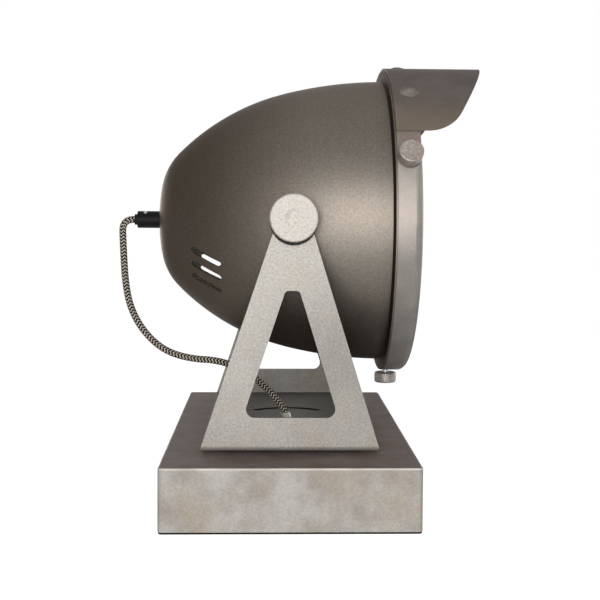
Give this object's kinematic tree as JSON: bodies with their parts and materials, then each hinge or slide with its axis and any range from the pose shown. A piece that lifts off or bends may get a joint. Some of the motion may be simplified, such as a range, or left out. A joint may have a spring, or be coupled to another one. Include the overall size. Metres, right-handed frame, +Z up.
{
  "type": "tabletop searchlight lamp",
  "caption": "Tabletop searchlight lamp: a spun steel head with front ring and visor tilts in a windowed U-shaped yoke that swivels on a box base.",
  "frame": {"origin": "centre of the base's underside, on the table", "axes": "+X where the lamp points at rest, +Z up, +Y across the lamp"},
  "size_m": [0.3326, 0.3465, 0.3881],
  "materials": {
    "sand_cast_grey": "satin metallic hammer-grey paint with fine speckle",
    "shell_bronze": "satin brown-grey metallic paint on spun steel",
    "ring_mauve": "satin mauve-grey metallic paint on pressed steel",
    "hood_grey": "satin grey-brown metallic paint on rolled steel",
    "knob_nickel": "cast knob with bright speckle",
    "zinc_steel": "zinc-plated steel",
    "ballast_iron": "bare rolled steel slab",
    "black_foam": "black foam sheet",
    "black_rubber": "black rubber",
    "black_nylon": "black moulded nylon",
    "clear_sleeve": "clear plastic sleeve",
    "braid": "black and cream herringbone braid",
    "white_plastic": "white moulded plastic",
    "black_phenolic": "black moulded phenolic",
    "holder_ceramic": "white glazed ceramic",
    "brass": "brass",
    "cap_nickel": "nickel-plated bulb cap",
    "opal_glass": "opal bulb glass",
    "clear_glass": "clear flat glass"
  },
  "bodies": {
    "base": {"base_housing": "sand_cast_grey", "base_corner_tabs": "sand_cast_grey", "base_plate": "zinc_steel", "base_pad": "black_foam", "base_plate_screws": "zinc_steel", "ballast_weights": "ballast_iron", "ballast_bolts": "zinc_steel", "inlet_gland": "black_nylon", "terminal_block": "white_plastic", "terminal_screws": "brass", "earth_stud": "zinc_steel", "friction_washer": "black_nylon", "swivel_spring_washer": "zinc_steel", "stop_pin": "zinc_steel", "cord_tail": "braid"},
    "yoke": {"yoke_bracket": "sand_cast_grey", "swivel_pipe": "zinc_steel", "swivel_nut": "zinc_steel", "cord_sleeve": "clear_sleeve", "head_cord": "braid", "tilt_washer_near": "black_rubber", "tilt_washer_far": "black_rubber"},
    "head": {"head_shell": "shell_bronze", "pivot_spacer_near": "zinc_steel", "pivot_spacer_far": "zinc_steel", "pivot_nut_near": "zinc_steel", "pivot_nut_far": "zinc_steel", "holder_nipple": "zinc_steel", "nipple_nut": "zinc_steel", "earth_tag": "brass", "cord_grip": "black_nylon", "cord_grip_screw": "zinc_steel", "lampholder_cap": "black_phenolic", "lampholder_insert": "holder_ceramic", "lampholder_contacts": "brass", "lampholder_skirt": "black_phenolic", "bulb_cap": "cap_nickel", "bulb_glass": "opal_glass"},
    "bezel": {"front_ring": "ring_mauve", "glass_gasket": "black_rubber", "front_glass": "clear_glass", "glass_retainer": "zinc_steel", "visor_strap": "ring_mauve", "visor_hood": "hood_grey", "visor_rivets": "hood_grey"},
    "near_tilt_knob": {"tilt_knob_near": "knob_nickel", "tilt_stud_near": "zinc_steel"},
    "far_tilt_knob": {"tilt_knob_far": "knob_nickel", "tilt_stud_far": "zinc_steel"},
    "near_visor_knob": {"visor_knob_near": "knob_nickel", "visor_knob_near_stud": "zinc_steel"},
    "far_visor_knob": {"visor_knob_far": "knob_nickel", "visor_knob_far_stud": "zinc_steel"},
    "ring_knob": {"ring_knob": "knob_nickel", "ring_knob_stud": "zinc_steel"}
  },
  "joints": [
    {"name": "yoke_swivel", "type": "hinge", "parent": "base", "child": "yoke", "pos_m": [0, 0, 0.0563], "axis": [0, 0, 1], "range_deg": [-40, 40]},
    {"name": "head_tilt", "type": "hinge", "parent": "yoke", "child": "head", "pos_m": [0.002, 0, 0.2475], "axis": [0, 1, 0], "range_deg": [-45, 20], "deforming": ["head_cord"]},
    {"name": "ring_pull_off", "type": "slide", "parent": "head", "child": "bezel", "axis": [1, 0, 0], "range_m": [0, 0.01]},
    {"name": "tilt_knob_near_turn", "type": "hinge", "parent": "head", "child": "near_tilt_knob", "pos_m": [0.002, -0.135, 0.2475], "axis": [0, -1, 0], "continuous": true},
    {"name": "tilt_knob_far_turn", "type": "hinge", "parent": "head", "child": "far_tilt_knob", "pos_m": [0.002, 0.135, 0.2475], "axis": [0, 1, 0], "continuous": true},
    {"name": "visor_knob_near_turn", "type": "hinge", "parent": "bezel", "child": "near_visor_knob", "pos_m": [0.0965, -0.13193, 0.29895], "axis": [0, -0.9239, 0.3827], "continuous": true},
    {"name": "visor_knob_far_turn", "type": "hinge", "parent": "bezel", "child": "far_visor_knob", "pos_m": [0.0965, 0.13193, 0.29895], "axis": [0, 0.9239, 0.3827], "continuous": true},
    {"name": "ring_knob_turn", "type": "hinge", "parent": "bezel", "child": "ring_knob", "pos_m": [0.0925, 0, 0.1015], "axis": [0, 0, -1], "continuous": true}
  ]
}
